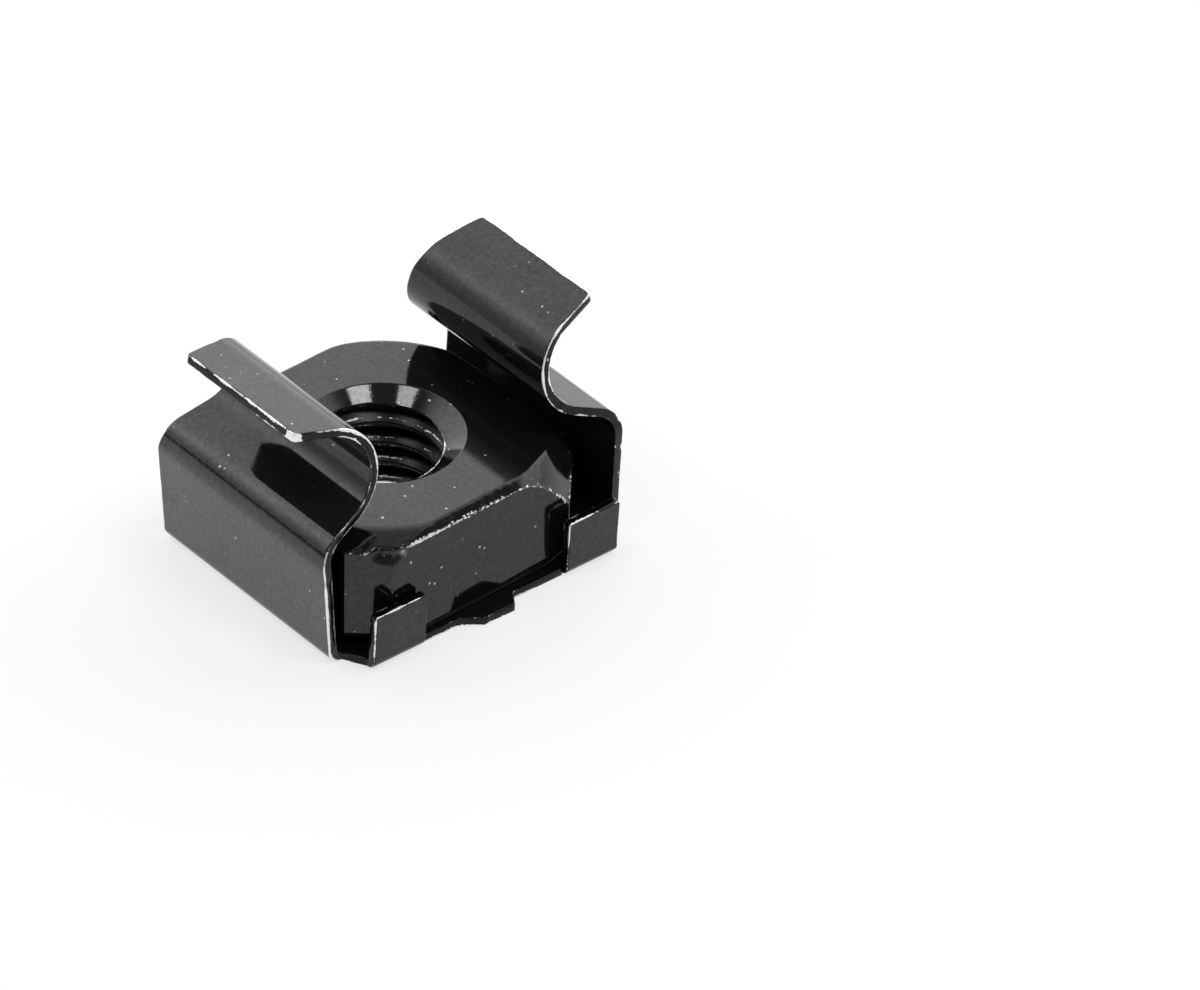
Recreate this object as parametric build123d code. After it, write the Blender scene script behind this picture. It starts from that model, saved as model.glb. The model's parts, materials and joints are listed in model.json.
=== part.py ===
from build123d import *
from math import asin, cos, degrees, radians, sin, tan
import os

# Rack cage nut: a square steel nut held loosely in a cage folded from one strip of spring steel.
# The cage stands on its base plate, with its two sprung ears pointing up (+Z).
# X runs from ear to ear, Y along the walls, and the origin is the centre of the base's underside.
# All lengths are in millimetres and all angles in degrees.

# Strip
sheet = 0.40
fold_radius = 0.25
strip_width = 10.86

# Nut, with the bore at the thread's minor diameter
nut_side = 12.32
nut_thickness = 5.00
nut_corner = 1.40
top_bevel = 0.33
crown_diameter = 12.84
crown_slope = 15.5
under_bevel = 0.08
under_diameter = 14.00
under_slope = 30
edge_angle = 45
screw_diameter = 6.00
bore_diameter = 5.00
mouth_diameter = 6.88
mouth_depth = 0.63

# Two corners of the nut that rolled over when it was sheared, with their height at the corner
front_roll = {"toward": -56, "slope": 67, "height": 2.95}
back_roll = {"toward": 45, "slope": 63, "height": 2.45}

# Play between the nut and its cage, and where the loose nut lies in that play
side_float = 1.01
end_float = 0.29
headroom = 0.35
lie_x_share = -0.58
lie_y_share = -0.40
turn_share = 0.57

# Base plate: its corners step in from the walls to the tabs, and a carrier stub is left on each end
corner_step = 0.54
edge_step = 0.26
stub_centre = -0.165
stub_width = 1.57
stub_reach = 0.66
stub_left_flare = 0.85
stub_right_flare = 0.45
stub_root_radius = 0.60
stub_tip_radius = 0.30

# Corner tabs, folded up from the base plate
tab_width = 2.67
tab_height = 2.75
tab_lean = 2.7
tab_fold_radius = 0.05
tab_corner_radius = 0.15
tab_slit = 0.06

# Spring ears: a shoulder bent in over the nut, then one open curl out to the lip
shoulder_radius = 1.00
shoulder_run = 1.15
curl_radius = 1.74
tip_width = 6.95
right_ear = {"splay": 2.4, "slope": 21.4, "lip_rise": 16.0, "lip_run": 1.74}
left_ear = {"splay": 3.9, "slope": 19.4, "lip_rise": 11.3, "lip_run": 1.89}

# Places worked out from the sizes above
upright = 90
half_turn = 180
wall_foot = nut_side / 2 + side_float - fold_radius
tab_root = nut_side / 2 + end_float - tab_fold_radius
tab_outer = wall_foot - corner_step
tab_inner = tab_outer - tab_width
base_edge = tab_root + tab_fold_radius + sheet - edge_step
base_hole_radius = screw_diameter / 2 + side_float


def sheet_section(path, place, width, across):
    """Return the sheet's cut section at one place on a fold path."""
    cut = Plane(origin=path @ place, x_dir=across, z_dir=path % place)
    return cut * Rectangle(width, sheet)


def side_paths(ear):
    """Return the centreline of the strip's right half in the X-Z plane, as its foot and its ear."""
    shoulder = shoulder_radius + sheet / 2
    wall_angle = upright - ear["splay"]
    slope_angle = half_turn - ear["slope"]
    shoulder_rise = shoulder * cos(radians(wall_angle)) - shoulder_radius * cos(radians(slope_angle))
    wall_top = sheet + nut_thickness + headroom - shoulder_rise

    base = Line((0, sheet / 2), (wall_foot, sheet / 2))
    foot = JernArc(base @ 1, base % 1, fold_radius + sheet / 2, wall_angle)
    wall_length = (wall_top - (foot @ 1).Y) / sin(radians(wall_angle))
    wall = Line(foot @ 1, (foot @ 1) + (foot % 1) * wall_length)

    over = JernArc(wall @ 1, wall % 1, shoulder, slope_angle - wall_angle)
    slope = Line(over @ 1, (over @ 1) + (over % 1) * shoulder_run)
    curl = JernArc(slope @ 1, slope % 1, curl_radius + sheet / 2, ear["lip_rise"] - slope_angle)
    lip = Line(curl @ 1, (curl @ 1) + (curl % 1) * ear["lip_run"])
    return Plane.XZ * Wire([foot, wall]), Plane.XZ * Wire([over, slope, curl, lip])


def spring_side(ear):
    """Return one wall with the fold at its foot, and the ear that tapers away above it."""
    foot_path, ear_path = side_paths(ear)
    along = (0, 1, 0)
    wall = sweep(sheet_section(foot_path, 0, strip_width, along), path=foot_path)
    wide_end = sheet_section(ear_path, 0, strip_width, along)
    narrow_end = sheet_section(ear_path, 1, tip_width, along)
    return wall + sweep([wide_end, narrow_end], path=ear_path, multisection=True)


def carrier_stub():
    """Return the flat outline of the stub that joined the blank to its carrier strip, on the back end."""
    left = stub_centre - stub_width / 2
    right = stub_centre + stub_width / 2
    tip = base_edge + stub_reach
    corners = [
        (left - stub_left_flare, base_edge),
        (left, tip),
        (right, tip),
        (right + stub_right_flare, base_edge),
        (right + stub_right_flare, 0),
        (left - stub_left_flare, 0),
    ]
    return make_face(Polyline(corners, close=True))


def base_plate():
    """Return the flat base with its stubs and the hole that the screw passes through."""
    corners = [
        (0, 0),
        (wall_foot, 0),
        (wall_foot, strip_width / 2),
        (tab_outer, tab_root),
        (tab_inner, tab_root),
        (tab_inner - tab_slit, tab_root),
        (tab_inner - tab_slit, base_edge),
        (0, base_edge),
    ]
    quarter = make_face(Polyline(corners, close=True))
    half = quarter + mirror(quarter, about=Plane.YZ) + carrier_stub()
    root_corner = (stub_centre - stub_width / 2 - stub_left_flare, base_edge)
    tip_corner = (stub_centre - stub_width / 2, base_edge + stub_reach)
    half = fillet(half.vertices().sort_by_distance(root_corner)[0], stub_root_radius)
    half = fillet(half.vertices().sort_by_distance(tip_corner)[0], stub_tip_radius)
    outline = half + mirror(half, about=Plane.XZ) - Circle(base_hole_radius)
    return extrude(outline, sheet)


def corner_tab():
    """Return the back right tab: a short fold up from the base, leaning out a little."""
    fold = JernArc((tab_root, sheet / 2), (1, 0), tab_fold_radius + sheet / 2, upright - tab_lean)
    rise = tab_height - (fold @ 1).Y - sheet / 2 * sin(radians(tab_lean))
    face = Line(fold @ 1, (fold @ 1) + (fold % 1) * (rise / cos(radians(tab_lean))))
    path = Plane.YZ * Wire([fold, face])
    tab = sweep(sheet_section(path, 0, tab_width, (1, 0, 0)), path=path)
    top_corners = tab.faces().sort_by(Axis.Z)[-1].edges().filter_by(Axis.X, reverse=True)
    tab = fillet(top_corners, tab_corner_radius)
    return Pos(tab_inner + tab_width / 2, 0, 0) * tab


def cage():
    """Return the folded cage: base, walls and ears, and four corner tabs, in one piece."""
    body = base_plate() + spring_side(right_ear) + mirror(spring_side(left_ear), about=Plane.YZ)
    back_right = corner_tab()
    back_left = mirror(back_right, about=Plane.YZ)
    for tab in (back_right, back_left):
        body += [tab, mirror(tab, about=Plane.XZ)]
    return body


def nut_blank():
    """Return the square blank with its corners cut off and its top and bottom edges bevelled."""
    outline = chamfer(Rectangle(nut_side, nut_side).vertices(), nut_corner)
    middle = nut_thickness - top_bevel - under_bevel
    blank = extrude(Pos(0, 0, under_bevel) * outline, middle)
    blank += extrude(Pos(0, 0, under_bevel + middle) * outline, top_bevel, taper=edge_angle)
    blank += extrude(Pos(0, 0, under_bevel) * outline, -under_bevel, taper=edge_angle)
    return blank


def crown():
    """Return the turned form that leaves a round land on each face and lets the corners fall away."""
    reach = nut_side
    top_fall = (reach - crown_diameter / 2) * tan(radians(crown_slope))
    under_rise = (reach - under_diameter / 2) * tan(radians(under_slope))
    profile = [
        (0, 0),
        (under_diameter / 2, 0),
        (reach, under_rise),
        (reach, nut_thickness - top_fall),
        (crown_diameter / 2, nut_thickness),
        (0, nut_thickness),
    ]
    return revolve(make_face(Plane.XZ * Polyline(profile, close=True)), Axis.Z)


def rolled_over(roll):
    """Return what is missing from a rolled corner: all that lies beyond one slanting plane."""
    toward = radians(roll["toward"])
    tilt = radians(roll["slope"])
    corner = (nut_side - nut_corner) / 2
    place = (corner, corner if toward > 0 else -corner, roll["height"])
    facing = (cos(toward) * sin(tilt), sin(toward) * sin(tilt), cos(tilt))
    return Plane(origin=place, z_dir=facing) * extrude(Rectangle(nut_side, nut_side), nut_side)


def bore():
    """Return the threaded bore's space, at the minor diameter, with a countersink at each mouth."""
    profile = [
        (0, 0),
        (mouth_diameter / 2, 0),
        (bore_diameter / 2, mouth_depth),
        (bore_diameter / 2, nut_thickness - mouth_depth),
        (mouth_diameter / 2, nut_thickness),
        (0, nut_thickness),
    ]
    return revolve(make_face(Plane.XZ * Polyline(profile, close=True)), Axis.Z)


def square_nut():
    """Return the nut where it lies: on the base, off centre and turned a little within its play."""
    nut = (nut_blank() & crown()) - rolled_over(front_roll) - rolled_over(back_roll) - bore()
    turn = degrees(asin(turn_share * end_float / (nut_side / 2 - nut_corner)))
    lie = Pos(lie_x_share * side_float, lie_y_share * end_float, sheet)
    return lie * Rot(0, 0, turn) * nut


os.makedirs("parts", exist_ok=True)
for name, part in (("cage", cage()), ("square_nut", square_nut())):
    export_step(part, "parts/" + name + ".step")
    print(name, len(part.solids()), "solid", round(part.volume, 3), "mm3", part.bounding_box())
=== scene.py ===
# %% [markdown]
# # A rack cage nut: a square nut in a cage of folded spring steel
#
# The real thing is two pieces. The cage is one strip of 0.4 mm spring steel, stamped flat and then
# folded. The nut is a square steel block with an M6 thread, and it lies loose in the cage. Both are
# coated gloss black, so almost everything that shows is a reflection, and the bare steel shows only
# where the coating has rubbed off the cut edges. The lesson therefore spends its care on three things:
# true curves, small rounded edges that catch the light, and surroundings that are worth reflecting.

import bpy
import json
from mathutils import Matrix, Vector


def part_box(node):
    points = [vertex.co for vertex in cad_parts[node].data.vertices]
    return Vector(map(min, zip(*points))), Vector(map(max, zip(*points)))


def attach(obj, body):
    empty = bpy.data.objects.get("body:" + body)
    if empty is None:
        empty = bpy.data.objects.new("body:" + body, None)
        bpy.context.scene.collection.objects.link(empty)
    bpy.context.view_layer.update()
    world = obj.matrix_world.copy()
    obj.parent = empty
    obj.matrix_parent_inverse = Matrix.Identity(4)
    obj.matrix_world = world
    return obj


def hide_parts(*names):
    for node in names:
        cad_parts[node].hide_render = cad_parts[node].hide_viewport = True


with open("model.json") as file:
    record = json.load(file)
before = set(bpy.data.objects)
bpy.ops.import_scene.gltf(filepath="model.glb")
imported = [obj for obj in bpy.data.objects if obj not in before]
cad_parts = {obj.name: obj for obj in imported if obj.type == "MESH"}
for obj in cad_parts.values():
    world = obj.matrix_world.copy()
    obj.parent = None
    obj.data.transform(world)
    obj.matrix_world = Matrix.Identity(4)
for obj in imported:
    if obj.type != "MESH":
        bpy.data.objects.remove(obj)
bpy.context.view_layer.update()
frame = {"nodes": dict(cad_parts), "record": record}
print("nodes in the frame:", sorted(frame["nodes"]))

# %% Tools and units
import json
from math import asin, atan2, ceil, copysign, cos, degrees, hypot, pi, radians, sin, tan

import bmesh
import bpy
from mathutils import Matrix, Vector, noise
from mathutils.geometry import tessellate_polygon
from mathutils.kdtree import KDTree

MM = 0.001
UPRIGHT = radians(90)
mounts = {mount["name"]: mount for mount in frame["record"]["mounts"]}

# %% [markdown]
# ## The camera
#
# The picture was taken from far away with a long lens: edges that are parallel on the object stay almost
# parallel in the picture. A camera is three facts, where it stands, how it is turned and how long its
# lens is, so each is given as a plain value. The camera looks along one line, and the aim is then slid
# sideways, because the object doesn't sit in the middle of the picture.

# %% Camera
CAMERA_AZIMUTH = radians(-40.63)
CAMERA_HEIGHT_ANGLE = radians(36.98)
CAMERA_ROLL = radians(1.44)
CAMERA_DISTANCE = 429.7 * MM
CAMERA_LENS = 315.8
AIM_HEIGHT = 3.0 * MM
AIM_RIGHT = 8.512 * MM
AIM_UP = -0.883 * MM


def set_camera():
    """Stand the camera where the picture was taken from."""
    backward = Vector((
        sin(CAMERA_AZIMUTH) * cos(CAMERA_HEIGHT_ANGLE),
        -cos(CAMERA_AZIMUTH) * cos(CAMERA_HEIGHT_ANGLE),
        sin(CAMERA_HEIGHT_ANGLE),
    ))
    level_right = (-backward).cross(Vector((0, 0, 1))).normalized()
    level_up = level_right.cross(-backward)
    right = cos(CAMERA_ROLL) * level_right + sin(CAMERA_ROLL) * level_up
    up = cos(CAMERA_ROLL) * level_up - sin(CAMERA_ROLL) * level_right
    place = Vector((0, 0, AIM_HEIGHT)) + backward * CAMERA_DISTANCE + right * AIM_RIGHT + up * AIM_UP
    camera = bpy.data.objects.new("camera", bpy.data.cameras.new("camera"))
    camera.matrix_world = Matrix.Translation(place) @ Matrix((right, up, backward)).transposed().to_4x4()
    camera.data.lens = CAMERA_LENS
    camera.data.clip_start = 10 * MM
    bpy.context.scene.collection.objects.link(camera)
    bpy.context.scene.camera = camera
    return place


print("camera at", [round(value / MM) for value in set_camera()], "mm")

# %% [markdown]
# ## Shader maths that reads like maths
#
# A material is a graph of nodes, and wiring a sum by hand takes four lines. One small class makes it
# readable: it holds a node's output, and Python's own operators add the Math node that the sum needs.
# Anything that isn't a sum comes from its `node` method, which sets the node up first and then fills or
# links its sockets. The graph that comes out is the same as one wired by hand.

# %% A socket that can stand in a sum
class Shade:
    """The output of a shader node. The operators add Math nodes, and node() adds any other kind."""

    def __init__(self, tree, socket=None):
        self.tree = tree
        self.socket = socket

    def node(self, kind, settings=None, sockets=None, output=0):
        """Add a node: its settings first, then the values or links of its sockets."""
        made = self.tree.nodes.new(kind)
        for name, value in (settings or {}).items():
            if name == "stops":
                fill_ramp(made.color_ramp, value)
            else:
                setattr(made, name, value)
        for name, value in (sockets or {}).items():
            if isinstance(value, Shade):
                self.tree.links.new(value.socket, made.inputs[name])
            else:
                made.inputs[name].default_value = value
        return Shade(self.tree, made.outputs[output])

    def maths(self, operation, first, second=0.0):
        return self.node("ShaderNodeMath", {"operation": operation}, {0: first, 1: second})

    def __add__(self, other):
        return self.maths("ADD", self, other)

    def __sub__(self, other):
        return self.maths("SUBTRACT", self, other)

    def __rsub__(self, other):
        return self.maths("SUBTRACT", other, self)

    def __mul__(self, other):
        return self.maths("MULTIPLY", self, other)

    __radd__ = __add__
    __rmul__ = __mul__

    def above(self, threshold, softness):
        """Return 0 below a threshold and 1 above it, with a soft step of the given width."""
        step = {"data_type": "FLOAT", "interpolation_type": "SMOOTHSTEP"}
        ends = {"Value": self, "From Min": threshold - softness, "From Max": threshold + softness}
        return self.node("ShaderNodeMapRange", step, ends)

    def largest(self, other):
        return self.maths("MAXIMUM", self, other)


def fill_ramp(ramp, stops):
    """Set a colour ramp's stops from pairs of a place and a grey level."""
    ramp.elements[0].position = stops[0][0]
    ramp.elements[-1].position = stops[-1][0]
    for place, level in stops[1:-1]:
        ramp.elements.new(place)
    for element, (place, level) in zip(ramp.elements, stops):
        element.color = (level, level, level, 1)


def two_colours(start, share, first, second):
    """Return a mix of two colours."""
    return start.node("ShaderNodeMix", {"data_type": "RGBA"}, {0: share, 6: first, 7: second}, output=2)


# %% [markdown]
# ## The studio
#
# A black glossy thing has no shading of its own: it shows the room. Here the room is a white table, a
# bright wall of light behind the object, which fades towards the ceiling, and a dark room on the viewer's
# side. Flat surfaces mirror the bright wall and come out grey. Surfaces that lean towards the viewer
# mirror the dark side and come out black. Two softboxes hang overhead, and only the steep ring of the
# countersink is turned so that it shows them, as two bright patches.
#
# The table's white is its own colour with some plain white mixed in, but only for what is seen of it,
# straight or in a mirror. It never lights the object, and it still takes the object's shadow.

# %% Table
TABLE_SIZE = 6.0
TABLE_COLOUR = (0.86, 0.86, 0.86, 1)
TABLE_ROUGHNESS = 0.8
TABLE_WHITENESS = 0.70


def make_table():
    """Lay a plain table under the object, whitened where it is seen and never where it lights."""
    mesh = bpy.data.meshes.new("table")
    half = TABLE_SIZE / 2
    corners = [(-half, -half, 0), (half, -half, 0), (half, half, 0), (-half, half, 0)]
    mesh.from_pydata(corners, [], [(0, 1, 2, 3)])
    table = bpy.data.objects.new("table", mesh)
    bpy.context.scene.collection.objects.link(table)
    material = bpy.data.materials.new("white_table")
    material.use_nodes = True
    tree = material.node_tree
    shader = tree.nodes["Principled BSDF"]
    shader.inputs["Base Color"].default_value = TABLE_COLOUR
    shader.inputs["Roughness"].default_value = TABLE_ROUGHNESS
    shader.inputs["Specular IOR Level"].default_value = 0.0
    start = Shade(tree)
    seen = start.node("ShaderNodeLightPath", output="Is Camera Ray")
    for kind in ("Is Glossy Ray", "Is Transmission Ray"):
        seen = seen.largest(start.node("ShaderNodeLightPath", output=kind))
    surface = Shade(tree, shader.outputs["BSDF"])
    white = start.node("ShaderNodeEmission", sockets={"Color": (1, 1, 1, 1), "Strength": 1.0})
    mixed = start.node("ShaderNodeMixShader", sockets={0: seen * TABLE_WHITENESS, 1: surface, 2: white})
    tree.links.new(mixed.socket, tree.nodes["Material Output"].inputs["Surface"])
    mesh.materials.append(material)
    return table


print("the table is", round(make_table().dimensions.x, 1), "m wide")

# %% [markdown]
# The room is the world itself. Each side has its own row of grey levels, from the table's height at 0 to
# the ceiling at 1, and the two sides meet in a soft step beside the object.

# %% Room light
AWAY = (0.65, 0.76, 0.0)
MEETING_PLACE = 0.05
MEETING_WIDTH = 0.14
BACK_LEVELS = [(0.0, 0.62), (0.36, 0.84), (0.60, 0.88), (0.79, 0.62), (0.93, 0.22), (1.0, 0.10)]
FRONT_LEVELS = [(0.0, 0.18), (0.60, 0.06), (1.0, 0.08)]
ROOM_STRENGTH = 2.6


def light_the_room():
    """Make the world bright on the far side and dark on the near side, with a soft step between."""
    world = bpy.data.worlds.new("studio")
    world.use_nodes = True
    bpy.context.scene.world = world
    room = Shade(world.node_tree)
    direction = room.node("ShaderNodeTexCoord", output="Generated")
    height = room.node("ShaderNodeSeparateXYZ", sockets={"Vector": direction}, output="Z")
    dot = {"operation": "DOT_PRODUCT"}
    away = room.node("ShaderNodeVectorMath", dot, {0: direction, 1: AWAY}, output="Value")
    back = room.node("ShaderNodeValToRGB", {"stops": BACK_LEVELS}, {"Fac": height})
    front = room.node("ShaderNodeValToRGB", {"stops": FRONT_LEVELS}, {"Fac": height})
    level = two_colours(room, away.above(MEETING_PLACE, MEETING_WIDTH), front, back)
    background = world.node_tree.nodes["Background"]
    world.node_tree.links.new(level.socket, background.inputs["Color"])
    background.inputs["Strength"].default_value = ROOM_STRENGTH
    return world


print("the room's light:", len(light_the_room().node_tree.nodes), "nodes")

# %% Softboxes
SOFTBOXES = {
    "right_softbox": {"place": (0.084, -0.210, 0.558), "size": 0.16, "power": 0.85},
    "left_softbox": {"place": (-0.222, 0.048, 0.558), "size": 0.13, "power": 0.45},
}


def hang_softbox(name, place, size, power):
    """Hang one square lamp that faces the object."""
    lamp = bpy.data.objects.new(name, bpy.data.lights.new(name, "AREA"))
    lamp.data.size = size
    lamp.data.energy = power
    lamp.location = place
    lamp.rotation_euler = Vector(place).to_track_quat("Z", "Y").to_euler()
    bpy.context.scene.collection.objects.link(lamp)
    return lamp


for name, softbox in SOFTBOXES.items():
    lamp = hang_softbox(name, **softbox)
    print(name, "hangs", round(lamp.location.z, 2), "m up")
bpy.context.scene.view_settings.view_transform = "Standard"

# %% [markdown]
# ## The cage, part 1: stamping the blank
#
# The cage could be modelled folded, wall by wall, but then every bend has to be joined to its
# neighbours. The factory's own way is easier: stamp a flat blank, round its cut edges, and fold it. Flat,
# the outline is simple, the edges are easy to find and round, and every bend comes out smooth because
# one formula moves all the points. These are the sizes that the fold and the blank both need.

# %% Sizes of the sheet and its folds, in millimetres
SHEET = 0.40
STRIP_WIDTH = 10.86
TIP_WIDTH = 6.95
FOLD_RADIUS = 0.25
SHOULDER_RADIUS = 1.00
SHOULDER_RUN = 1.15
CURL_RADIUS = 1.74
RIGHT_EAR = {"splay": 2.4, "slope": 21.4, "lip_rise": 16.0, "lip_run": 1.74}
LEFT_EAR = {"splay": 3.9, "slope": 19.4, "lip_rise": 11.3, "lip_run": 1.89}
NUT_SIDE = 12.32
NUT_THICKNESS = 5.00
SIDE_FLOAT = 1.01
END_FLOAT = 0.29
HEADROOM = 0.35
TAB_WIDTH = 2.67
TAB_HEIGHT = 2.75
TAB_LEAN = 2.7
TAB_FOLD_RADIUS = 0.05
CORNER_STEP = 0.54
EDGE_STEP = 0.26

wall_foot = NUT_SIDE / 2 + SIDE_FLOAT - FOLD_RADIUS
tab_root = NUT_SIDE / 2 + END_FLOAT - TAB_FOLD_RADIUS
tab_outer = wall_foot - CORNER_STEP
tab_inner = tab_outer - TAB_WIDTH
base_edge = tab_root + TAB_FOLD_RADIUS + SHEET - EDGE_STEP
print("walls fold up", round(wall_foot, 2), "mm from the middle, and tabs", round(tab_root, 2), "mm")

# %% [markdown]
# A fold path is a row of straight runs and arcs that lead smoothly into each other, so each piece needs
# only two numbers: how long it is and how far it turns. An ear's path turns up from the base into the
# wall, over the nut in the shoulder, and back the other way round the curl to the lip. Walking along it
# gives the place and the direction of any point of the strip.

# %% Fold paths
def ear_path(ear):
    """Return one wall and its ear as runs and arcs, each a length and the angle that it turns."""
    middle = SHEET / 2
    shoulder = SHOULDER_RADIUS + middle
    wall = radians(90 - ear["splay"])
    slope = radians(180 - ear["slope"])
    lip = radians(ear["lip_rise"])
    shoulder_rise = shoulder * cos(wall) - SHOULDER_RADIUS * cos(slope)
    foot_top = middle + (FOLD_RADIUS + middle) * (1 - cos(wall))
    wall_length = (SHEET + NUT_THICKNESS + HEADROOM - shoulder_rise - foot_top) / sin(wall)
    return [
        ((FOLD_RADIUS + middle) * wall, wall),
        (wall_length, 0),
        (shoulder * (slope - wall), slope - wall),
        (SHOULDER_RUN, 0),
        ((CURL_RADIUS + middle) * (slope - lip), lip - slope),
        (ear["lip_run"], 0),
    ]


def tab_path():
    """Return one corner tab as an arc and a run."""
    middle = SHEET / 2
    lean = radians(90 - TAB_LEAN)
    arc = TAB_FOLD_RADIUS + middle
    rise = TAB_HEIGHT - middle - arc * (1 - cos(lean)) - middle * cos(lean)
    return [(arc * lean, lean), (rise / sin(lean), 0)]


def walk(path, distance):
    """Return how far along, how high and at what angle a walk along a fold path ends."""
    along, high, heading = 0.0, 0.0, 0.0
    for length, turn in path:
        part = min(distance, length)
        if turn:
            radius = length / turn
            turned = part / radius
            along += radius * (sin(heading + turned) - sin(heading))
            high += radius * (cos(heading) - cos(heading + turned))
            heading += turned
        else:
            along += part * cos(heading)
            high += part * sin(heading)
        distance -= part
    return along, high, heading


paths = {"right": ear_path(RIGHT_EAR), "left": ear_path(LEFT_EAR), "tab": tab_path()}
lengths = {name: sum(length for length, turn in path) for name, path in paths.items()}
print("unfolded lengths in mm:", {name: round(length, 2) for name, length in lengths.items()})

# %% [markdown]
# The outline of the blank is a walk round its edge. Only one long side is written out, and the other is
# its mirror image. The tabs stand beside the base's edge, and a narrow slit keeps them apart from it, as
# the punch does, so that they can fold. The small stub in the middle is where the blank was broken off
# its carrier strip. A corner that isn't sharp carries its radius, and an arc takes its place.

# %% Outline of the blank
SLIT = 0.06
STUB_CENTRE = -0.165
STUB_WIDTH = 1.57
STUB_REACH = 0.66
STUB_LEFT_FLARE = 0.85
STUB_RIGHT_FLARE = 0.45
STUB_ROOT_RADIUS = 0.60
STUB_TIP_RADIUS = 0.30
TAB_CORNER_RADIUS = 0.15
TIP_CORNER_RADIUS = 0.25
POINT_SPACING = 0.16
ARC_STEP = radians(12)


def side_corners():
    """Return the corners of one long side of the blank, from the right lip to the left one."""
    corners = []
    for side, name in ((1, "right"), (-1, "left")):
        tip = wall_foot + lengths[name]
        taper = tip - sum(length for length, turn in paths[name][2:])
        half = [
            (side * tip, TIP_WIDTH / 2, TIP_CORNER_RADIUS),
            (side * taper, STRIP_WIDTH / 2, 0),
            (side * wall_foot, STRIP_WIDTH / 2, 0),
            (side * tab_outer, tab_root, 0),
            (side * tab_outer, tab_root + lengths["tab"], TAB_CORNER_RADIUS),
            (side * tab_inner, tab_root + lengths["tab"], TAB_CORNER_RADIUS),
            (side * tab_inner, tab_root, 0),
            (side * (tab_inner - SLIT), tab_root, 0),
            (side * (tab_inner - SLIT), base_edge, 0),
        ]
        corners += half if side > 0 else stub_corners() + half[::-1]
    return corners


def stub_corners():
    """Return the corners of the carrier stub, from right to left."""
    left = STUB_CENTRE - STUB_WIDTH / 2
    right = STUB_CENTRE + STUB_WIDTH / 2
    tip = base_edge + STUB_REACH
    return [
        (right + STUB_RIGHT_FLARE, base_edge, 0),
        (right, tip, 0),
        (left, tip, STUB_TIP_RADIUS),
        (left - STUB_LEFT_FLARE, base_edge, STUB_ROOT_RADIUS),
    ]


def round_off(corners):
    """Return the closed outline as points, with an arc in place of each corner that has a radius."""
    points = []
    for index, (x, y, radius) in enumerate(corners):
        here = Vector((x, y))
        before = (Vector(corners[index - 1][:2]) - here).normalized()
        after = (Vector(corners[(index + 1) % len(corners)][:2]) - here).normalized()
        if not radius:
            points.append(here)
            continue
        opening = before.angle(after)
        centre = here + (before + after).normalized() * radius / sin(opening / 2)
        start = here + before * radius / tan(opening / 2) - centre
        turn = -start.angle_signed(here + after * radius / tan(opening / 2) - centre)
        steps = ceil(abs(turn) / ARC_STEP)
        points += [centre + Matrix.Rotation(turn * step / steps, 2) @ start for step in range(steps + 1)]
    return points


def add_points(points, spacing):
    """Return a closed outline with more points along its straight runs."""
    closer = []
    for start, end in zip(points, points[1:] + points[:1]):
        steps = max(1, round((end - start).length / spacing))
        closer += [start.lerp(end, step / steps) for step in range(steps)]
    return closer


back_side = side_corners()
front_side = [(x, -y, radius) for x, y, radius in back_side[::-1]]
blank_outline = add_points(round_off(back_side + front_side), POINT_SPACING)
print("the outline has", len(blank_outline), "points")

# %% [markdown]
# A punch doesn't cut steel like paper. The last part of the cut tears, so the edge wavers by about a
# hundredth of a millimetre. The waver is smooth noise taken at each point's own place. Blender starts
# that noise somewhere else on every run, so it is given a seed, and the waver is always the same.

# %% Waver of the cut edge
CUT_WAVER = 0.012
WAVER_PER_MM = 2.2
WAVER_SEED = 4


def waver(point):
    """Shift one point of the outline by smooth noise."""
    shift = noise.noise_vector(Vector((point.x, point.y, 0)) * WAVER_PER_MM)
    return point + Vector((shift.x, shift.y)) * CUT_WAVER


noise.seed_set(WAVER_SEED)
shifts = [(waver(point) - point).length for point in blank_outline]
blank_outline = [waver(point) for point in blank_outline]
print("the largest shift is", round(max(shifts), 4), "mm")

# %% The hole in the base
HOLE_POINTS = 120
SCREW_DIAMETER = 6.0
hole_radius = SCREW_DIAMETER / 2 + SIDE_FLOAT
hole_turns = [2 * pi * step / HOLE_POINTS for step in range(HOLE_POINTS)]
hole_outline = [Vector((cos(turn), sin(turn))) * hole_radius for turn in hole_turns]
print("the hole is", round(2 * hole_radius, 2), "mm across")

# %% [markdown]
# The blank becomes a mesh in five moves: lay a narrow border inside the outline, fill the rest, score the
# sheet across wherever it will bend, thicken it, and round the cut edges. The border keeps the rounding
# and its highlights at the edge, so the wide faces stay perfectly flat. The scores are the hinge lines
# of the folds, close together where the bend is tight.

# %% Stamp the blank
BORDER = 0.10
EDGE_ROUND = 0.05
EDGE_STEPS = 3
SCORE_TURN = radians(3.5)
SAME_PLACE = 1e-6


def scores(path, start):
    """Return the places of the hinge lines of a fold path, measured from the middle of the blank."""
    places = []
    for length, turn in path:
        steps = max(1, ceil(abs(turn) / SCORE_TURN))
        if turn:
            places += [start + length * step / steps for step in range(steps + 1)]
        start += length
    return places


def shifted_inward(points, inward):
    """Return a closed outline moved sideways by the border's width, to its left or to its right."""
    moved = []
    for index, point in enumerate(points):
        before = (point - points[index - 1]).normalized()
        after = (points[(index + 1) % len(points)] - point).normalized()
        middle = (before + after).normalized()
        sideways = Vector((-middle.y, middle.x)) * inward
        moved.append(point + sideways * BORDER / max(0.5, middle.dot(after)))
    return moved


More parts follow.
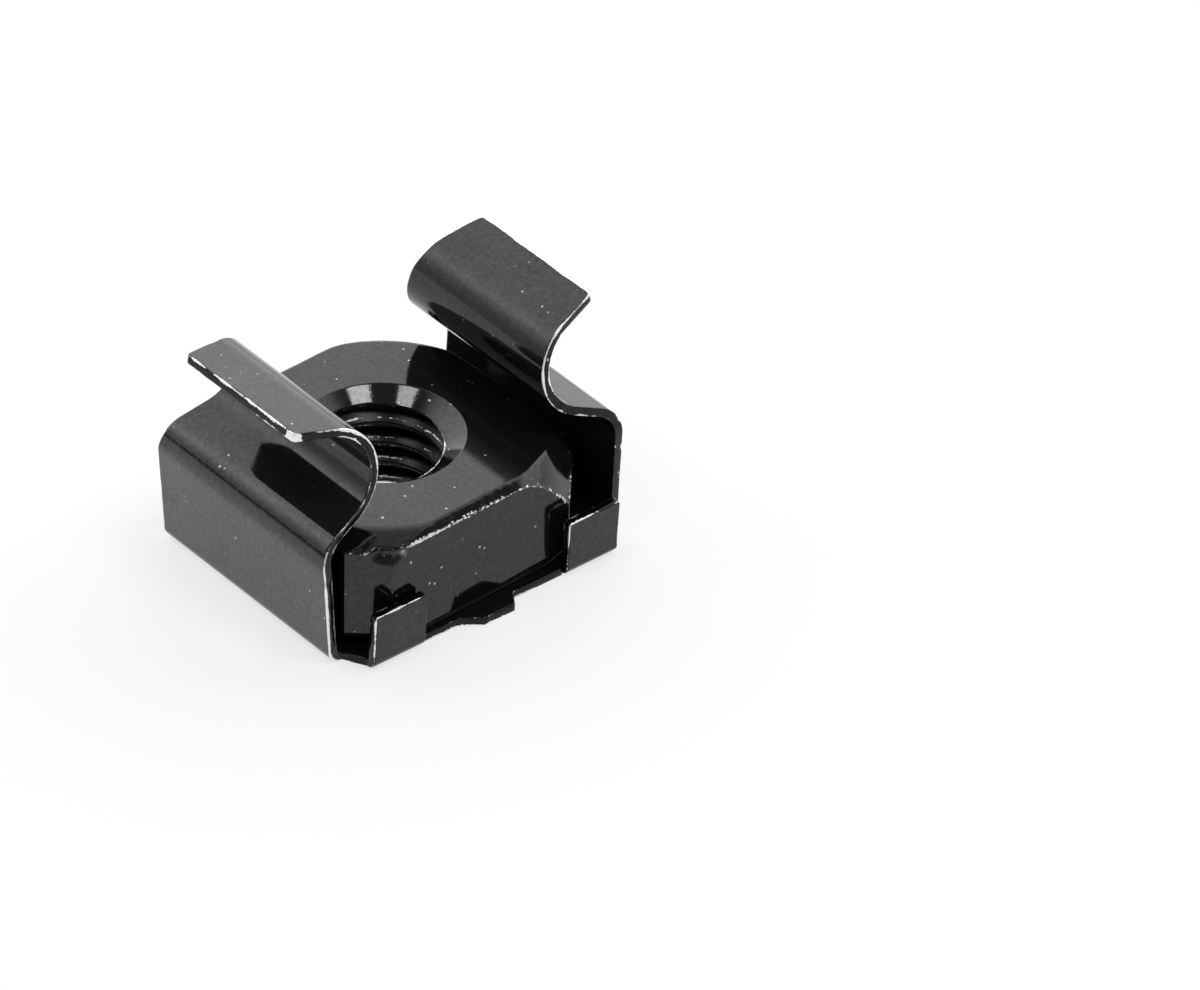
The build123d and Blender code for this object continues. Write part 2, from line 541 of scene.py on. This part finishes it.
def cut_across(bm, direction, places):
    """Score the flat mesh along lines that stand square to a direction."""
    for place in places:
        parts = bm.verts[:] + bm.edges[:] + bm.faces[:]
        hinge = direction * place
        bmesh.ops.bisect_plane(bm, geom=parts, dist=SAME_PLACE, plane_co=hinge, plane_no=direction)


def stamp_blank():
    """Return the blank as a closed mesh, flat, in millimetres, with its middle layer at zero height."""
    bm = bmesh.new()
    inner_lines, inner_verts = [], []
    for outline, inward in ((blank_outline, 1), (hole_outline, -1)):
        inner = shifted_inward(outline, inward)
        inner_lines.append([point.to_3d() for point in inner])
        rim = [bm.verts.new(point.to_3d()) for point in outline]
        line = [bm.verts.new(point.to_3d()) for point in inner]
        inner_verts += line
        for index in range(len(rim)):
            bm.faces.new((rim[index - 1], rim[index], line[index], line[index - 1]))
    filling = []
    for triangle in tessellate_polygon(inner_lines):
        filling.append(bm.faces.new([inner_verts[index] for index in triangle]))
    seams = dict.fromkeys(edge for face in filling for edge in face.edges)
    bmesh.ops.beautify_fill(bm, faces=filling, edges=list(seams))
    bmesh.ops.recalc_face_normals(bm, faces=bm.faces[:])
    cut_across(bm, Vector((1, 0, 0)), scores(paths["right"], wall_foot))
    cut_across(bm, Vector((-1, 0, 0)), scores(paths["left"], wall_foot))
    cut_across(bm, Vector((0, 1, 0)), scores(paths["tab"], tab_root))
    cut_across(bm, Vector((0, -1, 0)), scores(paths["tab"], tab_root))
    thicken(bm)
    return bm


def thicken(bm):
    """Give the flat sheet its thickness, and round both rims of its cut edge beside a middle line."""
    bmesh.ops.solidify(bm, geom=bm.faces[:], thickness=SHEET)
    bmesh.ops.recalc_face_normals(bm, faces=bm.faces[:])
    lowest = min(vert.co.z for vert in bm.verts)
    for vert in bm.verts:
        vert.co.z += -SHEET / 2 - lowest
    upright = [edge for edge in bm.edges if abs(edge.verts[0].co.z - edge.verts[1].co.z) > SHEET / 2]
    bmesh.ops.subdivide_edges(bm, edges=upright, cuts=1)
    bm.normal_update()
    rims = [edge for edge in bm.edges if edge.calc_face_angle(0) > UPRIGHT / 2]
    bmesh.ops.bevel(bm, geom=rims, offset=EDGE_ROUND, segments=EDGE_STEPS, profile=0.5, affect="EDGES")
    bm.normal_update()


blank = stamp_blank()
open_edges = sum(not edge.is_manifold for edge in blank.edges)
print("the blank has", len(blank.faces), "faces and", open_edges, "open edges")

# %% [markdown]
# ## The cage, part 2: folding
#
# Folding moves every point of the blank. A point keeps its height above the sheet's middle layer, and the
# fold path says where that layer went and which way it faces. The directions that light needs, the
# normals, are folded by the same turn. That gives the bends exact normals, which a mirror-like finish
# shows up at once: worked out from the facets they would ripple.

# %% Fold one point
def fold(point, normal):
    """Return where a point of the blank and its normal go when the cage is folded."""
    if abs(point.x) > wall_foot:
        name = "right" if point.x > 0 else "left"
        outward = Vector((1, 0, 0)) * (1 if point.x > 0 else -1)
        root, path, sideways = wall_foot, paths[name], Vector((0, point.y, 0))
        distance = abs(point.x) - wall_foot
    elif abs(point.y) > tab_root and abs(point.x) > tab_inner - SLIT / 2:
        outward = Vector((0, 1, 0)) * (1 if point.y > 0 else -1)
        root, path, sideways = tab_root, paths["tab"], Vector((point.x, 0, 0))
        distance = abs(point.y) - tab_root
    else:
        return Vector((point.x, point.y, point.z + SHEET / 2)), normal
    along, high, heading = walk(path, distance)
    lift = Vector((0, 0, 1))
    face = lift * cos(heading) - outward * sin(heading)
    ahead = outward * cos(heading) + lift * sin(heading)
    place = outward * (root + along) + lift * (high + SHEET / 2) + sideways + face * point.z
    turned = normal - outward * normal.dot(outward) - lift * normal.z
    return place, turned + ahead * normal.dot(outward) + face * normal.z


lip_end = fold(Vector((wall_foot + lengths["right"], 0, 0)), Vector((0, 0, 1)))[0]
print("the right lip ends at", [round(value, 2) for value in lip_end], "mm")

# %% [markdown]
# The finish needs to know how near each point is to the rim of a cut edge, because that is where the
# coating wears. Flat, that is simple: how far in from the outline, and how far down from the sheet's
# face. It is measured before folding and kept on the mesh as a named attribute, which a material can
# read. The rims that touch less wear less: the inner ones of the walls and the lower ones of the lips.
# One corner of the left lip is chipped, so its mark is stronger. A second mark is 1 all over the cut
# face, which is darker, and a third is just the place along the strip, so that the finish can find the
# fold lines.

# %% How near to a rim each point is
LIP_CHIP_REACH = 0.60
LIP_CHIP_WEAR = 2.5
HIDDEN_WEAR = 0.70
EAR_START = 12.6


def rim_marks(bm):
    """Return how near each point is to a rim, from 0 to 1, and how near to the cut face."""
    outline = add_points(blank_outline, BORDER / 8) + add_points(hole_outline, BORDER / 8)
    tree = KDTree(len(outline))
    for index, point in enumerate(outline):
        tree.insert((point.x, point.y, 0), index)
    tree.balance()
    half = SHEET / 2
    chipped_corner = Vector((-wall_foot - lengths["left"], -TIP_WIDTH / 2))
    rims, cuts = [], []
    for vert in bm.verts:
        inward = tree.find((vert.co.x, vert.co.y, 0))[2] / BORDER
        down = (half - abs(vert.co.z)) / half
        hidden = (vert.co.z > 0) == (abs(vert.co.x) < EAR_START)
        rims.append(max(0.0, 1 - hypot(inward, down)) * (HIDDEN_WEAR if hidden else 1))
        cuts.append(max(0.0, 1 - inward))
        knocked = max(0.0, 1 - (vert.co.xy - chipped_corner).length / LIP_CHIP_REACH)
        rims[-1] = max(rims[-1], knocked * cuts[-1] * LIP_CHIP_WEAR)
    return rims, cuts


# %% Fold the cage
def mesh_object(name, verts, faces, normals, marks):
    """Make a smooth mesh object from points in millimetres, their normals and named marks."""
    mesh = bpy.data.meshes.new(name)
    mesh.from_pydata([vert * MM for vert in verts], [], faces)
    mesh.polygons.foreach_set("use_smooth", [True] * len(mesh.polygons))
    for mark, values in marks.items():
        mesh.attributes.new(mark, "FLOAT", "POINT").data.foreach_set("value", values)
    if normals:
        mesh.normals_split_custom_set_from_vertices([normal.normalized() for normal in normals])
    piece = bpy.data.objects.new(name, mesh)
    bpy.context.scene.collection.objects.link(piece)
    return piece


def fold_cage(bm):
    """Fold the blank and return the cage."""
    rims, cuts = rim_marks(bm)
    marks = {"edge": rims, "cut": cuts, "along": [vert.co.x for vert in bm.verts]}
    places, normals = zip(*[fold(vert.co, vert.normal) for vert in bm.verts])
    bm.verts.index_update()
    faces = [[vert.index for vert in face.verts] for face in bm.faces]
    return mesh_object("folded_cage", places, faces, normals, marks)


cage = fold_cage(blank)
blank.free()
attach(cage, "root")
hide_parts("cage")
print("the cage has", len(cage.data.polygons), "faces")

# %% [markdown]
# ## The nut, part 1: the block
#
# The nut is a square block with cut corners. Its top was turned on a lathe, so a flat round land is left
# and the corners fall away below it, and the sharp edges were knocked off in a tumbling drum. Two corners
# rolled right over when the blank was sheared from its bar. All of that is a height: for any point of
# the top, the lowest of a few simple surfaces wins. Taking a soft lowest instead of a hard one rounds
# every edge where two surfaces meet, as the coating and the drum did. A wide blend does the same for the
# rolled corners, where the steel flowed over instead of being cut.

# %% Sizes of the nut, in millimetres
NUT_CORNER = 1.40
TOP_BEVEL = 0.33
CROWN_DIAMETER = 12.84
CROWN_SLOPE = radians(15.5)
UNDER_BEVEL = 0.08
UNDER_DIAMETER = 14.00
UNDER_SLOPE = radians(30)
FRONT_ROLL = {"toward": radians(-56), "slope": radians(67), "height": 2.95, "softness": 1.6}
BACK_ROLL = {"toward": radians(45), "slope": radians(63), "height": 2.45, "softness": 1.7}
MINOR_RADIUS = 5.00 / 2
MOUTH_RADIUS = 6.88 / 2
MOUTH_DEPTH = 0.63
TURN = asin(0.57 * END_FLOAT / (NUT_SIDE / 2 - NUT_CORNER))
EDGE_SOFTNESS = 0.06

corner_place = (NUT_SIDE - NUT_CORNER) / 2
corner_reach = corner_place * 2 ** 0.5
bore_place = Vector(mounts["m6_thread"]["pos_m"]) / MM
nut_place = Vector((bore_place.x, bore_place.y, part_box("square_nut")[0][2] / MM))
print("the nut lies", [round(value, 2) for value in nut_place], "mm off, turned", round(degrees(TURN), 1))


def soft_lowest(heights, softness):
    """Return the lowest of some heights, rounded where two of them are nearly level."""
    lowest = heights[0]
    for height in heights[1:]:
        blend = max(softness - abs(lowest - height), 0) / softness
        lowest = min(lowest, height) - blend * blend * softness / 4
    return lowest


def inset(x, y):
    """Return how far inside the block's outline a point is."""
    side = NUT_SIDE / 2 - max(abs(x), abs(y))
    corner = corner_reach - (abs(x) + abs(y)) / 2 ** 0.5
    return min(side, corner)


def rolled_height(roll, x, y):
    """Return the height of the slanting plane that a rolled corner ends on."""
    back = (corner_place - x) * cos(roll["toward"])
    aside = (copysign(corner_place, roll["toward"]) - y) * sin(roll["toward"])
    return roll["height"] + (back + aside) * tan(roll["slope"])


def top_height(x, y):
    """Return the height of the nut's top at a point."""
    land = NUT_THICKNESS
    crown = NUT_THICKNESS - (hypot(x, y) - CROWN_DIAMETER / 2) * tan(CROWN_SLOPE)
    rim = NUT_THICKNESS - TOP_BEVEL + inset(x, y)
    for roll in (FRONT_ROLL, BACK_ROLL):
        rim = soft_lowest([rim, rolled_height(roll, x, y)], roll["softness"])
    return soft_lowest([land, crown, rim], EDGE_SOFTNESS)


def under_height(x, y):
    """Return the height of the nut's underside at a point."""
    crown = (hypot(x, y) - UNDER_DIAMETER / 2) * tan(UNDER_SLOPE)
    rim = UNDER_BEVEL - inset(x, y)
    return -soft_lowest([0, -crown, -rim], EDGE_SOFTNESS)


print("the top is", round(top_height(5, 0), 2), "mm high at the land and",
      round(top_height(corner_place, -corner_place), 2), "mm at the front rolled corner")

# %% [markdown]
# ## The nut, part 2: the thread
#
# A thread could be a curve swept along a helix, but its ends are hard to join to the countersinks. The
# bore is easier as a wall that is told how deep to cut: at each angle and height, the distance along the
# helix says whether the point is on a crest, on a flank or in a root. Each countersink then wins wherever
# it is wider than the thread, so the thread runs out into it just as the real one does.

# %% Thread
PITCH = 1.0
THREAD_DEPTH = 0.54
CREST_SHARE = 0.08
ROOT_SHARE = 0.15


def thread_radius(angle, height):
    """Return the bore's radius at an angle and a height, thread and countersinks together."""
    phase = (height / PITCH - angle / (2 * pi)) % 1.0
    from_crest = abs(phase - 0.5) * 2
    flank = (from_crest - CREST_SHARE) / (1 - CREST_SHARE - ROOT_SHARE)
    radius = MINOR_RADIUS + THREAD_DEPTH * min(1.0, max(0.0, flank))
    depth = min(height, NUT_THICKNESS - height)
    mouth = MOUTH_RADIUS - depth * (MOUTH_RADIUS - MINOR_RADIUS) / MOUTH_DEPTH
    return max(radius, mouth)


middle_radii = [thread_radius(0, NUT_THICKNESS / 2 + PITCH * step / 10) for step in range(10)]
print("the thread goes from", min(middle_radii), "to", round(max(middle_radii), 2), "mm off the axis")

# %% [markdown]
# The mesh is a stack of rings round the bore. Each ring has its points at the same angles, so ring joins
# to ring with plain four-sided faces, and the last ring joins the first. Going round the section, the
# rings climb the bore, cross the top, drop down the side and return along the underside.

# %% Angles of the rings
SIDE_SPACING = 0.15
CORNER_ROUND = 0.16


def block_outline():
    """Return the points of the block's outline, with its eight corners rounded a little."""
    near, far = NUT_SIDE / 2 - NUT_CORNER, NUT_SIDE / 2
    corners = [(near, far), (far, near), (far, -near), (near, -far)]
    corners += [(-x, -y) for x, y in corners]
    return add_points(round_off([(x, y, CORNER_ROUND) for x, y in corners]), SIDE_SPACING)


outline = block_outline()[::-1]
angles = [atan2(point.y, point.x) for point in outline]
print("each ring has", len(outline), "points")

# %% Rings
BORE_ROW = 0.034
TOP_ROWS = [0.0, 0.004, 0.02, 0.3, 0.6]
CROWN_ROW = 0.05
SIDE_ROWS = 26
SIDE_CROWDING = 1.5
RIM_DROP = 0.04
DENT_DEPTH = 0.035
DENT_REACH = 0.5
DENTS_PER_MM = 4.5


def flat_rows():
    """Return shares of the way from the bore's mouth to the outline, close together near the outline."""
    crown_rows = round((NUT_SIDE / 2 - MOUTH_RADIUS) * (1 - TOP_ROWS[-1]) / CROWN_ROW)
    step = (1 - TOP_ROWS[-1]) / crown_rows
    return TOP_ROWS + [TOP_ROWS[-1] + step * row for row in range(1, crown_rows + 1)]


def rim_dent(x, y, z):
    """Return how far the tumbled rim is dented at a point, which fades away from the outline."""
    share = max(0.0, 1 - inset(x, y) / DENT_REACH)
    return DENT_DEPTH * share * noise.noise(Vector((x, y, z)) * DENTS_PER_MM)


def bore_rings():
    """Return the rings that climb the bore, from the lower mouth to the upper one."""
    rows = round(NUT_THICKNESS / BORE_ROW)
    rings = []
    for row in range(rows + 1):
        height = NUT_THICKNESS * row / rows
        radii = [thread_radius(angle, height) for angle in angles]
        spots = [(radius * cos(angle), radius * sin(angle)) for radius, angle in zip(radii, angles)]
        rings.append([Vector((x, y, height)) for x, y in spots])
    return rings


def face_rings(height_at):
    """Return the rings that cross the top or the underside, from the bore's mouth to the outline."""
    rings = []
    for share in flat_rows()[1:]:
        ring = []
        for point, angle in zip(outline, angles):
            mouth = Vector((cos(angle), sin(angle))) * MOUTH_RADIUS
            place = mouth.lerp(point * (1 - RIM_DROP / point.length), share)
            height = height_at(place.x, place.y)
            ring.append(Vector((place.x, place.y, height - rim_dent(place.x, place.y, height))))
        rings.append(ring)
    return rings


def side_rings(upper, lower):
    """Return the rings that drop down the side, between the top's last ring and the underside's."""
    rings = []
    for row in range(SIDE_ROWS + 1):
        share = (row / SIDE_ROWS) ** SIDE_CROWDING
        ring = []
        for point, high, low in zip(outline, upper, lower):
            height = (high.z - RIM_DROP) * (1 - share) + (low.z + RIM_DROP) * share
            ring.append(Vector((point.x, point.y, height)))
        rings.append(ring)
    return rings


def nut_rings():
    """Return all the rings of the nut, round its section from the lower mouth and back."""
    top = face_rings(top_height)
    under = face_rings(under_height)
    return bore_rings() + top + side_rings(top[-1], under[-1]) + under[::-1]


print("the nut has", len(nut_rings()), "rings")

# %% [markdown]
# In the drum the nut was knocked about, so one corner has a notch and two chips beside it. Each is a
# soft dent: points near its middle move in towards the bore.

# %% Chips at the worst corner
CHIPS = [
    {"place": (-5.16, -5.90, 4.66), "reach": 0.50, "depth": 0.36},
    {"place": (-4.72, -6.16, 4.52), "reach": 0.42, "depth": 0.26},
    {"place": (-4.20, -6.16, 4.50), "reach": 0.30, "depth": 0.14},
]


def chipped(point):
    """Return a point of the block, moved in where a chip has left a dent."""
    inward = -Vector((point.x, point.y, 0)).normalized()
    for chip in CHIPS:
        share = max(0.0, 1 - (point - Vector(chip["place"])).length / chip["reach"])
        point = point + inward * chip["depth"] * share * (2 - share)
    return point


print("chips are up to", max(chip["depth"] for chip in CHIPS), "mm deep")

# %% [markdown]
# The nut carries marks for its finish as the cage does. One says how near a point is to something worn, and
# in the thread to a painted highlight: the rim of the top, the scuff beside the notch, the lips of the bore,
# and thin painted highlight lines along the thread. The other is 1 on the thread, where the coating is dull
# and painted darker as the shade deep in the bore.

# %% How worn each point of the nut is, with painted highlight lines in the thread
RIM_WEAR_REACH = 0.16
KNOCKED_PLACE = (-3.20, -6.16)
KNOCKED_REACH = 1.80
KNOCKED_WEAR = 0.7
SCUFF_PLACE = (-4.16, -6.16, 4.46)
SCUFF_REACH = 0.80
SCUFF_WEAR = 1.15
# painted highlight: thin bright lines that follow the thread, so many to a pitch
THREAD_GLINT_LINES = 3
THREAD_GLINT_SHARE = 0.30
THREAD_GLINT_STRENGTH = 1.35
LIP_WEAR_REACH = 0.09
LIP_WEAR = 1.6
THREAD_FADE = 0.08


def rim_wear(point):
    """Return 1 on the lower edge of the top's bevel and less away from it, but more near the notch."""
    away = hypot(inset(point.x, point.y), top_height(point.x, point.y) - point.z)
    knocked = max(0.0, 1 - (point.xy - Vector(KNOCKED_PLACE)).length / KNOCKED_REACH)
    return max(0.0, 1 - away / RIM_WEAR_REACH) * (1 + KNOCKED_WEAR * knocked)


def scuff(point):
    """Return how bare a point was knocked beside the notch, from the middle of the bare place outward."""
    return SCUFF_WEAR * max(0.0, 1 - (point - Vector(SCUFF_PLACE)).length / SCUFF_REACH)


def bore_marks(angle, height):
    """Return how much a point of the bore belongs to the thread, and the larger of its lip wear and painted
    highlight.
    """
    depth = min(height, NUT_THICKNESS - height)
    inside = min(1.0, max(0.0, (depth - MOUTH_DEPTH + THREAD_FADE) / THREAD_FADE))
    phase = (height / PITCH - angle / (2 * pi)) % 1.0
    # painted highlight lines along the thread
    thread_glint = max(0.0, 1 - (1 - abs((phase * THREAD_GLINT_LINES) % 1.0 - 0.5) * 2) / THREAD_GLINT_SHARE)
    lip = max(0.0, 1 - abs(depth - MOUTH_DEPTH) / LIP_WEAR_REACH)
    return inside, max(thread_glint * inside * THREAD_GLINT_STRENGTH, lip * LIP_WEAR)


# %% Build the nut
def build_nut():
    """Join the rings into the nut and lay it where it lies in the cage."""
    rings = nut_rings()
    count = len(outline)
    verts = [chipped(point) for ring in rings for point in ring]
    faces = []
    for row in range(len(rings)):
        here, above = row * count, (row + 1) % len(rings) * count
        for column in range(count):
            after = (column + 1) % count
            faces.append((here + column, above + column, above + after, here + after))
    bore_points = [(angle, point.z) for ring in bore_rings() for point, angle in zip(ring, angles)]
    inside, worn_and_glinting = zip(*[bore_marks(angle, height) for angle, height in bore_points])
    outside = verts[len(inside):]
    marks = {
        "edge": list(worn_and_glinting) + [max(rim_wear(point), scuff(point)) for point in outside],
        "thread": list(inside) + [0.0] * len(outside),
    }
    lie = Matrix.Translation(nut_place) @ Matrix.Rotation(TURN, 4, "Z")
    return mesh_object("threaded_nut", [lie @ point for point in verts], faces, None, marks)


nut = build_nut()
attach(nut, "root")
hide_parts("square_nut")
print("the nut has", len(nut.data.polygons), "faces")

# %% [markdown]
# ## The black coating
#
# The coating is a thin black metal plating: hard, glossy and dark, with no colour under it. A metallic
# shader with a very dark base colour does that. What keeps it from looking like black glass is small:
# the gloss changes in soft patches, the surface ripples slightly like orange peel, and pale specks show
# where the plating failed over a grain of dirt. All of these are clouds of smooth noise, each with its
# own scale.

# %% Clouds of noise
PATCHES = {"per_mm": 0.45}
MOTTLE = {"per_mm": 5.0, "detail": 4.0, "roughness": 0.6}
GRAIN = {"per_mm": 14.0}
WAVES = {"per_mm": 0.25, "detail": 0.0}
STRETCHES = {"per_mm": 0.7, "detail": 2.0}
CRUMBS = {"per_mm": 6.0, "detail": 3.0, "roughness": 0.65}
SPECK_CHOICE = {"per_mm": 1.3, "detail": 1.0}
SPECK_CELLS_PER_MM = 2.4
SPECK_RADIUS = 0.10
SPECK_RAGGEDNESS = 0.06
SPECK_SOFTNESS = 0.05


def cloud(place, per_mm, detail=3.0, roughness=0.5):
    """Return smooth noise, 0.5 on average, that repeats so many times in a millimetre."""
    values = {"Vector": place, "Scale": per_mm / MM, "Detail": detail, "Roughness": roughness}
    return place.node("ShaderNodeTexNoise", sockets=values)


def pale_specks(place, grain, share):
    """Return 1 on small ragged specks, in the given share of the surface."""
    cells = {"Vector": place, "Scale": SPECK_CELLS_PER_MM / MM}
    distance = place.node("ShaderNodeTexVoronoi", sockets=cells, output="Distance")
    away = distance.above(SPECK_RADIUS + grain * SPECK_RAGGEDNESS, SPECK_SOFTNESS)
    return (1 - away) * cloud(place, **SPECK_CHOICE).above(1 - share, 0.03)


# %% [markdown]
# Two things change along the strip. One is the tone of the plating, which on the cage is painted sheen:
# lighter on the walls and fading over the shoulders, as if the walls were lit more brightly than the base
# and the ears. The other is how hard its rims were rubbed, which on the cage is real wear together with a
# painted highlight along the rims. Each is a row of levels with its places in millimetres from the middle
# of the blank. The plating rubs through where three things add up to enough: a near rim, a stretch that
# was rubbed, and the crumbs of the coating, which make the border ragged.

# %% Levels along the strip: painted sheen, wear with painted highlight, and painted shade
# the cage's tones are painted sheen: lighter on the walls and fading over the shoulders
CAGE_TONES_WITH_PAINTED_SHEEN = [(0, 0.046), (6.7, 0.046), (7.4, 0.098), (11.4, 0.096), (12.2, 0.062), (14, 0.049), (25, 0.049)]
NUT_TONES = [(0, 0.041), (25, 0.041)]
# rub levels of the cage's rims: real wear and painted highlight, strongest from the left wall round the left
# curl, and on the right curl's end and lip
LEFT_RUB_AND_HIGHLIGHT_SHARES = [(-25, 0.66), (-20.5, 0.70), (-18.5, 1.25), (-7.5, 1.40), (-6.9, 0.85)]
RIGHT_RUB_AND_HIGHLIGHT_SHARES = [(6.9, 0.85), (12.5, 0.60), (15, 0.62), (17, 1.30), (25, 1.30)]
RIM_SHARE = 0.8
STRETCH_SHARE = 1.5
RUB_SOFTNESS = 0.06
RIM_START = 0.15
RIM_START_SOFTNESS = 0.10
# the width of the painted shade line along each crease, and the gaps that break it
CREASE_WIDTH = 0.035
CREASE_GAPS = 0.44
CREASE_GAP_SOFTNESS = 0.03
# the thread is painted darker, as the shade deep in the bore
THREAD_PAINTED_SHADE = 0.80


def mark(start, name):
    """Return a mark that the mesh carries, which is 0 on a mesh without it."""
    return start.node("ShaderNodeAttribute", {"attribute_name": name}, output="Fac")


def by_distance(distance, levels):
    """Return a level that changes with a distance in millimetres, from pairs of distance and level."""
    first, last = levels[0][0], levels[-1][0]
    stops = [((spot - first) / (last - first), level) for spot, level in levels]
    share = (distance - first) * (1 / (last - first))
    return distance.node("ShaderNodeValToRGB", {"stops": stops}, {"Fac": share})


def rubbed_through(place, edge, crumbs, worn_from, crumbling):
    """Return 1 where the plating has rubbed through, which starts at the given nearness to a rim."""
    wear = edge * RIM_SHARE + cloud(place, **STRETCHES) * STRETCH_SHARE + crumbs * crumbling
    average_noise = 0.5 * (STRETCH_SHARE + crumbling)
    enough = wear.above(average_noise + RIM_SHARE * worn_from, RUB_SOFTNESS)
    return enough * edge.above(RIM_START, RIM_START_SOFTNESS)


def painted_shade(along, crumbs, thread, rubbed, creases):
    """Return how much painted shade lies in the thread and, in a broken line, along each crease."""
    painted_dark = thread * (1 - rubbed) * THREAD_PAINTED_SHADE
    for crease in creases:
        from_crease = along.maths("ABSOLUTE", along - crease)
        line = 1 - from_crease.above(CREASE_WIDTH, CREASE_WIDTH / 2)
        painted_dark = painted_dark.largest(line * crumbs.above(CREASE_GAPS, CREASE_GAP_SOFTNESS))
    return painted_dark


# %% [markdown]
# The parts come together in one shader. The plating's tone with its painted sheen, bare steel and painted
# shade change the colour, the same patterns make the surface duller or rougher, and a very low bump gives
# the ripples that bend the reflections.

# %% Coating
METAL_SHARE = 0.88
STEEL_COLOUR = (0.88, 0.87, 0.85, 1)
# the colour of painted shade in the thread and along the creases
PAINTED_SHADE_COLOUR = (0.010, 0.010, 0.010, 1)
LEAST_TONE = 0.25
PATCH_TONE = 0.3
MOTTLE_TONE = 1.2
CUT_DARKNESS = 0.6
SPECK_BARENESS = 0.45
RIM_TOP = 0.80
RIM_TOP_SOFTNESS = 0.15
RIM_BARENESS = 0.30
LEAST_ROUGHNESS = 0.03
ROUGHNESS_SHARES = {"mottle": 0.05, "grain": 0.03, "bare": 0.30, "thread": 0.25}
BUMP_DISTANCE = 0.006
BUMP_SHARES = {"mottle": 0.25, "grain": 0.12, "rubbed": 0.8, "specks": 0.8, "waves": 3.0}


def black_coating(name, tones_and_painted_sheen, worn_from, crumbling, speck_share, creases):
    """Make the coated finish, with bare steel where the mesh's edge mark and noise agree."""
    material = bpy.data.materials.new(name)
    material.use_nodes = True
    start = Shade(material.node_tree)
    place = start.node("ShaderNodeTexCoord", output="Object")
    along, thread = mark(start, "along"), mark(start, "thread")
    patches, mottle, grain = cloud(place, **PATCHES), cloud(place, **MOTTLE), cloud(place, **GRAIN)
    crumbs = cloud(place, **CRUMBS)

    specks = pale_specks(place, grain, speck_share)
    # the rim mark scaled by the rub levels, which on the cage carry painted highlight as well as wear
    edge = mark(start, "edge") * by_distance(along, LEFT_RUB_AND_HIGHLIGHT_SHARES + RIGHT_RUB_AND_HIGHLIGHT_SHARES)
    rubbed = rubbed_through(place, edge, crumbs, worn_from, crumbling)
    thin = edge.above(RIM_TOP, RIM_TOP_SOFTNESS) * RIM_BARENESS * (1 - thread)
    bare = rubbed.largest(specks * SPECK_BARENESS).largest(thin)
    # painted shade: darker in the thread and in broken lines along two of the cage's folds
    painted_dark = painted_shade(along, crumbs, thread, rubbed, creases)

    # the tone along the strip, which on the cage is painted sheen
    tone_and_painted_sheen = by_distance(start.maths("ABSOLUTE", along), tones_and_painted_sheen)
    varied = LEAST_TONE + patches * PATCH_TONE + mottle * MOTTLE_TONE
    shade = {"Scale": varied * (1 - mark(start, "cut") * CUT_DARKNESS)}
    plated = start.node("ShaderNodeVectorMath", {"operation": "SCALE"}, {0: tone_and_painted_sheen, **shade})
    colour = two_colours(start, bare, two_colours(start, painted_dark, plated, PAINTED_SHADE_COLOUR), STEEL_COLOUR)

    share = ROUGHNESS_SHARES
    roughness = LEAST_ROUGHNESS + mottle * share["mottle"] + grain * share["grain"]
    roughness = roughness + bare * share["bare"] + thread * share["thread"]
    share = BUMP_SHARES
    height = mottle * share["mottle"] + grain * share["grain"] - rubbed * share["rubbed"]
    height = height + specks * share["specks"] + cloud(place, **WAVES) * share["waves"]
    sizes = {"Height": height, "Distance": BUMP_DISTANCE * MM, "Strength": 1.0}
    bump = start.node("ShaderNodeBump", sockets=sizes)

    shader = material.node_tree.nodes["Principled BSDF"]
    shader.inputs["Metallic"].default_value = METAL_SHARE
    for socket, value in (("Base Color", colour), ("Roughness", roughness), ("Normal", bump)):
        material.node_tree.links.new(value.socket, shader.inputs[socket])
    return material


# %% [markdown]
# Painted shade darkens two fold lines of the cage in broken lines: low on the left ear's shoulder, and
# where the right ear's curl begins. The nut was knocked about loose in a drum, so its rims wear in crumbs
# and later than the cage's.

# %% Coat the cage and the nut
LEFT_CREASE_PAST_WALL = 0.7
RIGHT_CREASE_PAST_SLOPE = 0.9

left_wall = sum(length for length, turn in paths["left"][:2])
right_slope = sum(length for length, turn in paths["right"][:4])
left_crease = wall_foot + left_wall + LEFT_CREASE_PAST_WALL
right_crease = wall_foot + right_slope + RIGHT_CREASE_PAST_SLOPE
cage_finish = {"worn_from": 0.62, "crumbling": 0.5, "speck_share": 0.36, "creases": [-left_crease, right_crease]}
nut_finish = {"worn_from": 0.92, "crumbling": 1.8, "speck_share": 0.40, "creases": []}
cage.data.materials.append(black_coating("black_spring_steel", CAGE_TONES_WITH_PAINTED_SHEEN, **cage_finish))
nut.data.materials.append(black_coating("black_nut_steel", NUT_TONES, **nut_finish))
print("the finishes:", [piece.data.materials[0].name for piece in (cage, nut)])
